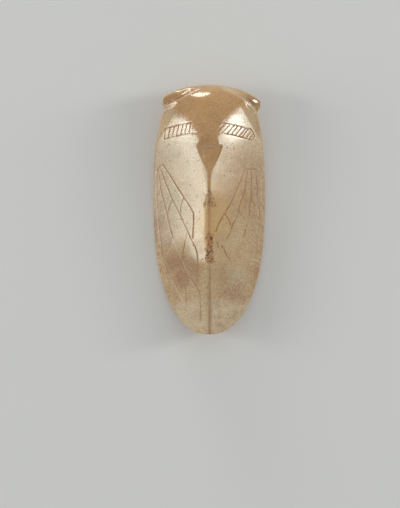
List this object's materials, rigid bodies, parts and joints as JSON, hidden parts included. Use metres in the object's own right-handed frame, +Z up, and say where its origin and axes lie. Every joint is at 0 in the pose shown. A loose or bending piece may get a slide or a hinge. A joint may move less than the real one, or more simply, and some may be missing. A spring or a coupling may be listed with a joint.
{
  "type": "jade cicada",
  "caption": "Small polished jade carving of a folded-wing cicada, lying flat on its belly, with a ridged back, eye bosses, a hatched collar and incised wing veins",
  "frame": {"origin": "middle of the footprint, on the surface that the belly lies on", "axes": "+X across to the carving's right seen from above with the head up, +Y towards the head, +Z up out of the back"},
  "size_m": [0.0266, 0.06, 0.0129],
  "materials": {
    "jade": "polished pale cream and tan nephrite, brown dirt in the incised lines, small pits"
  },
  "bodies": {
    "root": {"cicada": "jade"}
  },
  "joints": []
}
